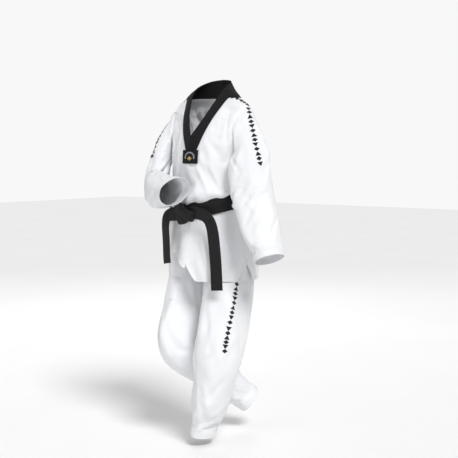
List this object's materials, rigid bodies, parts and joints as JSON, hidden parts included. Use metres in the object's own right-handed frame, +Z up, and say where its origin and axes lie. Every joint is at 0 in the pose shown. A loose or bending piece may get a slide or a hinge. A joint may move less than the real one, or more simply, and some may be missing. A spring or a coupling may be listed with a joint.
{
  "type": "martial arts uniform",
  "caption": "White cotton V-neck martial arts jacket with a black neckband, a knotted black belt and loose white trousers, hanging as on a stepping wearer.",
  "frame": {"origin": "between the shoulders at the base of the neck, where the wearer or a hanger holds the uniform up", "axes": "+Z up, the wearer's front faces -Y, the wearer's left is +X"},
  "size_m": [0.6563, 0.4894, 1.3293],
  "materials": {
    "white_cloth": "white ribbed cotton and polyester weave, matt",
    "black_cloth": "black cotton, row stitched on the belt, matt",
    "badge_cloth": "grey and gold embroidery on a black label",
    "elastic": "woven elastic"
  },
  "bodies": {
    "torso": {"jacket_front": "white_cloth", "jacket_back": "white_cloth", "neckband_left": "black_cloth", "neckband_right": "black_cloth", "neckband_back": "black_cloth", "neck_tab": "black_cloth", "tab_badge": "badge_cloth", "sleeve_left_cap": "white_cloth", "sleeve_right_cap": "white_cloth", "belt_inner_turn": "black_cloth", "belt_outer_turn": "black_cloth", "knot_core": "black_cloth", "knot_arm_left": "black_cloth", "knot_arm_right": "black_cloth", "waistband": "white_cloth", "waist_elastic": "elastic", "trouser_seat_left": "white_cloth", "trouser_seat_right": "white_cloth", "trouser_left_hip": "white_cloth", "trouser_right_hip": "white_cloth"},
    "left_upper_sleeve": {"sleeve_left_upper": "white_cloth", "sleeve_left_elbow": "white_cloth"},
    "left_lower_sleeve": {"sleeve_left_lower": "white_cloth", "sleeve_left_hem": "white_cloth"},
    "right_upper_sleeve": {"sleeve_right_upper": "white_cloth", "sleeve_right_elbow": "white_cloth"},
    "right_lower_sleeve": {"sleeve_right_lower": "white_cloth", "sleeve_right_hem": "white_cloth"},
    "front_flap": {"skirt_front_left": "white_cloth", "slit_tape_front_left": "white_cloth", "slit_tape_side_left": "white_cloth", "skirt_front_right": "white_cloth", "slit_tape_front_right": "white_cloth"},
    "back_flap": {"skirt_back": "white_cloth", "slit_tape_back_left": "white_cloth", "slit_tape_back_right": "white_cloth"},
    "left_tail": {"belt_tail_left": "black_cloth"},
    "right_tail": {"belt_tail_right": "black_cloth"},
    "left_thigh": {"trouser_left_thigh": "white_cloth", "trouser_left_knee": "white_cloth"},
    "left_shin": {"trouser_left_shin": "white_cloth", "trouser_left_hem": "white_cloth"},
    "right_thigh": {"trouser_right_thigh": "white_cloth", "trouser_right_knee": "white_cloth"},
    "right_shin": {"trouser_right_shin": "white_cloth", "trouser_right_hem": "white_cloth"}
  },
  "joints": [
    {"name": "left_shoulder", "type": "hinge", "parent": "torso", "child": "left_upper_sleeve", "pos_m": [0.168, -0.005, -0.085], "axis": [0, -1, 0], "range_deg": [0, 55], "deforming": ["sleeve_left_cap"]},
    {"name": "left_elbow", "type": "hinge", "parent": "left_upper_sleeve", "child": "left_lower_sleeve", "pos_m": [0.236, -0.068, -0.345], "axis": [-1, 0, 0], "range_deg": [0, 85], "deforming": ["sleeve_left_elbow"]},
    {"name": "right_shoulder", "type": "hinge", "parent": "torso", "child": "right_upper_sleeve", "pos_m": [-0.168, -0.005, -0.085], "axis": [0, 1, 0], "range_deg": [0, 45], "deforming": ["sleeve_right_cap"]},
    {"name": "right_elbow", "type": "hinge", "parent": "right_upper_sleeve", "child": "right_lower_sleeve", "pos_m": [-0.197, -0.112, -0.332], "axis": [0.1671, 0.5299, -0.8315], "range_deg": [0, 65], "deforming": ["sleeve_right_elbow"]},
    {"name": "left_hip", "type": "hinge", "parent": "torso", "child": "left_thigh", "pos_m": [0.085, 0, -0.567], "axis": [-1, 0, 0], "range_deg": [0, 35], "deforming": ["trouser_left_hip"]},
    {"name": "left_knee", "type": "hinge", "parent": "left_thigh", "child": "left_shin", "pos_m": [0.104, -0.1, -0.935], "axis": [1, 0, 0], "range_deg": [-15, 22], "deforming": ["trouser_left_knee"]},
    {"name": "right_hip", "type": "hinge", "parent": "torso", "child": "right_thigh", "pos_m": [-0.087, 0, -0.567], "axis": [-0.8486, 0.5291, 0], "range_deg": [0, 30], "deforming": ["trouser_right_hip"]},
    {"name": "right_knee", "type": "hinge", "parent": "right_thigh", "child": "right_shin", "pos_m": [-0.083, -0.098, -0.925], "axis": [0.9535, -0.2773, 0.1183], "range_deg": [-20, 25], "deforming": ["trouser_right_knee"]},
    {"name": "front_flap_lift", "type": "hinge", "parent": "torso", "child": "front_flap", "pos_m": [0, -0.14, -0.428], "axis": [-1, 0, 0], "range_deg": [0, 24.5], "deforming": ["skirt_front_left", "slit_tape_front_left", "slit_tape_side_left", "skirt_front_right", "slit_tape_front_right"]},
    {"name": "back_flap_lift", "type": "hinge", "parent": "torso", "child": "back_flap", "pos_m": [0, 0.106, -0.39], "axis": [1, 0, 0], "range_deg": [0, 40], "deforming": ["skirt_back", "slit_tape_back_left", "slit_tape_back_right"]},
    {"name": "left_tail_swing", "type": "hinge", "parent": "front_flap", "child": "left_tail", "pos_m": [0.111, -0.16, -0.458], "axis": [-1, 0, 0], "range_deg": [0, 60]},
    {"name": "right_tail_swing", "type": "hinge", "parent": "front_flap", "child": "right_tail", "pos_m": [-0.084, -0.174, -0.47], "axis": [-1, 0, 0], "range_deg": [0, 60]}
  ],
  "couplings": [
    {"joint": "front_flap_lift", "follows": "left_hip", "ratio": 0.7}
  ]
}
